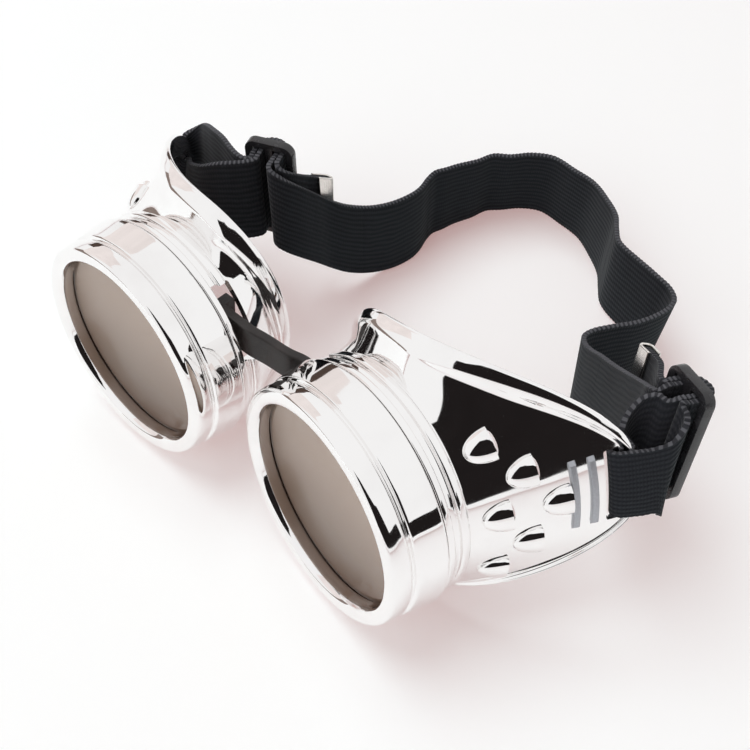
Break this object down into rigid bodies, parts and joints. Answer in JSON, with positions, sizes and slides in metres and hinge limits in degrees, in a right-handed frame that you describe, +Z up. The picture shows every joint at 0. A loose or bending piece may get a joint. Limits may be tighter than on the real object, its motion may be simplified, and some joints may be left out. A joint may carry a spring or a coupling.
{
  "type": "round-lens goggles",
  "caption": "Round-lens goggles with metallised eye cups, screw-on lens rings, a rubber nose bridge and an elastic head strap with sliders.",
  "frame": {"origin": "centre of the goggles' outline on the table, at the lowest point of the lens rings", "axes": "+X from the left eye cup to the right one, -Y the way the lenses face, +Z up from the table"},
  "size_m": [0.1634, 0.1444, 0.0654],
  "materials": {
    "metallised_plastic": "mirror metallised",
    "tinted_lens": "polished, tinted",
    "gasket_rubber": "matte",
    "bridge_rubber": "satin",
    "elastic_webbing": "ribbed knit",
    "slider_plastic": "satin",
    "clip_steel": "bright"
  },
  "bodies": {
    "bridge_and_strap": {"nose_bridge": "bridge_rubber", "strap_centre": "elastic_webbing", "strap_main_left": "elastic_webbing", "strap_main_right": "elastic_webbing"},
    "cup_right": {"eye_cup_right": "metallised_plastic", "strap_loop_right": "elastic_webbing"},
    "lens_right": {"tinted_lens_right": "tinted_lens", "lens_gasket_right": "gasket_rubber"},
    "ring_right": {"lens_ring_right": "metallised_plastic"},
    "adjuster_right": {"strap_slider_right": "slider_plastic", "strap_wrap_right": "elastic_webbing", "strap_tail_right": "elastic_webbing", "tail_clip_right": "clip_steel"},
    "cup_left": {"eye_cup_left": "metallised_plastic", "strap_loop_left": "elastic_webbing"},
    "lens_left": {"tinted_lens_left": "tinted_lens", "lens_gasket_left": "gasket_rubber"},
    "ring_left": {"lens_ring_left": "metallised_plastic"},
    "adjuster_left": {"strap_slider_left": "slider_plastic", "strap_wrap_left": "elastic_webbing", "strap_tail_left": "elastic_webbing", "tail_clip_left": "clip_steel"}
  },
  "joints": [
    {"name": "bridge_hinge_right", "type": "hinge", "parent": "bridge_and_strap", "child": "cup_right", "pos_m": [0.00347, -0.04294, 0.03482], "axis": [0, 0, 1], "range_deg": [-8, 10], "deforming": ["strap_main_right"]},
    {"name": "lens_slide_right", "type": "slide", "parent": "cup_right", "child": "lens_right", "axis": [-0.205, -0.9735, 0.1017], "range_m": [0, 0.004]},
    {"name": "ring_turn_right", "type": "hinge", "parent": "lens_right", "child": "ring_right", "pos_m": [0.02609, -0.06479, 0.0305], "axis": [-0.205, -0.9735, 0.1017], "range_deg": [0, 720]},
    {"name": "strap_adjust_right", "type": "slide", "parent": "cup_right", "child": "adjuster_right", "axis": [0.4687, 0.8706, -0.1494], "range_m": [-0.002, 0.01], "deforming": ["strap_loop_right", "strap_main_right"]},
    {"name": "bridge_hinge_left", "type": "hinge", "parent": "bridge_and_strap", "child": "cup_left", "pos_m": [-0.01326, -0.04812, 0.04176], "axis": [0, 0, 1], "range_deg": [-10, 8], "deforming": ["strap_main_left"]},
    {"name": "lens_slide_left", "type": "slide", "parent": "cup_left", "child": "lens_left", "axis": [-0.0312, -0.9943, 0.1017], "range_m": [0, 0.004]},
    {"name": "ring_turn_left", "type": "hinge", "parent": "lens_left", "child": "ring_left", "pos_m": [-0.03781, -0.06479, 0.0305], "axis": [-0.0312, -0.9943, 0.1017], "range_deg": [0, 720]},
    {"name": "strap_adjust_left", "type": "slide", "parent": "cup_left", "child": "adjuster_left", "axis": [-0.3821, 0.9241, 0], "range_m": [-0.002, 0.01], "deforming": ["strap_loop_left", "strap_main_left"]}
  ],
  "couplings": [
    {"joint": "lens_slide_right", "follows": "ring_turn_right", "m_per_rad": 0.0003183},
    {"joint": "lens_slide_left", "follows": "ring_turn_left", "m_per_rad": 0.0003183}
  ]
}
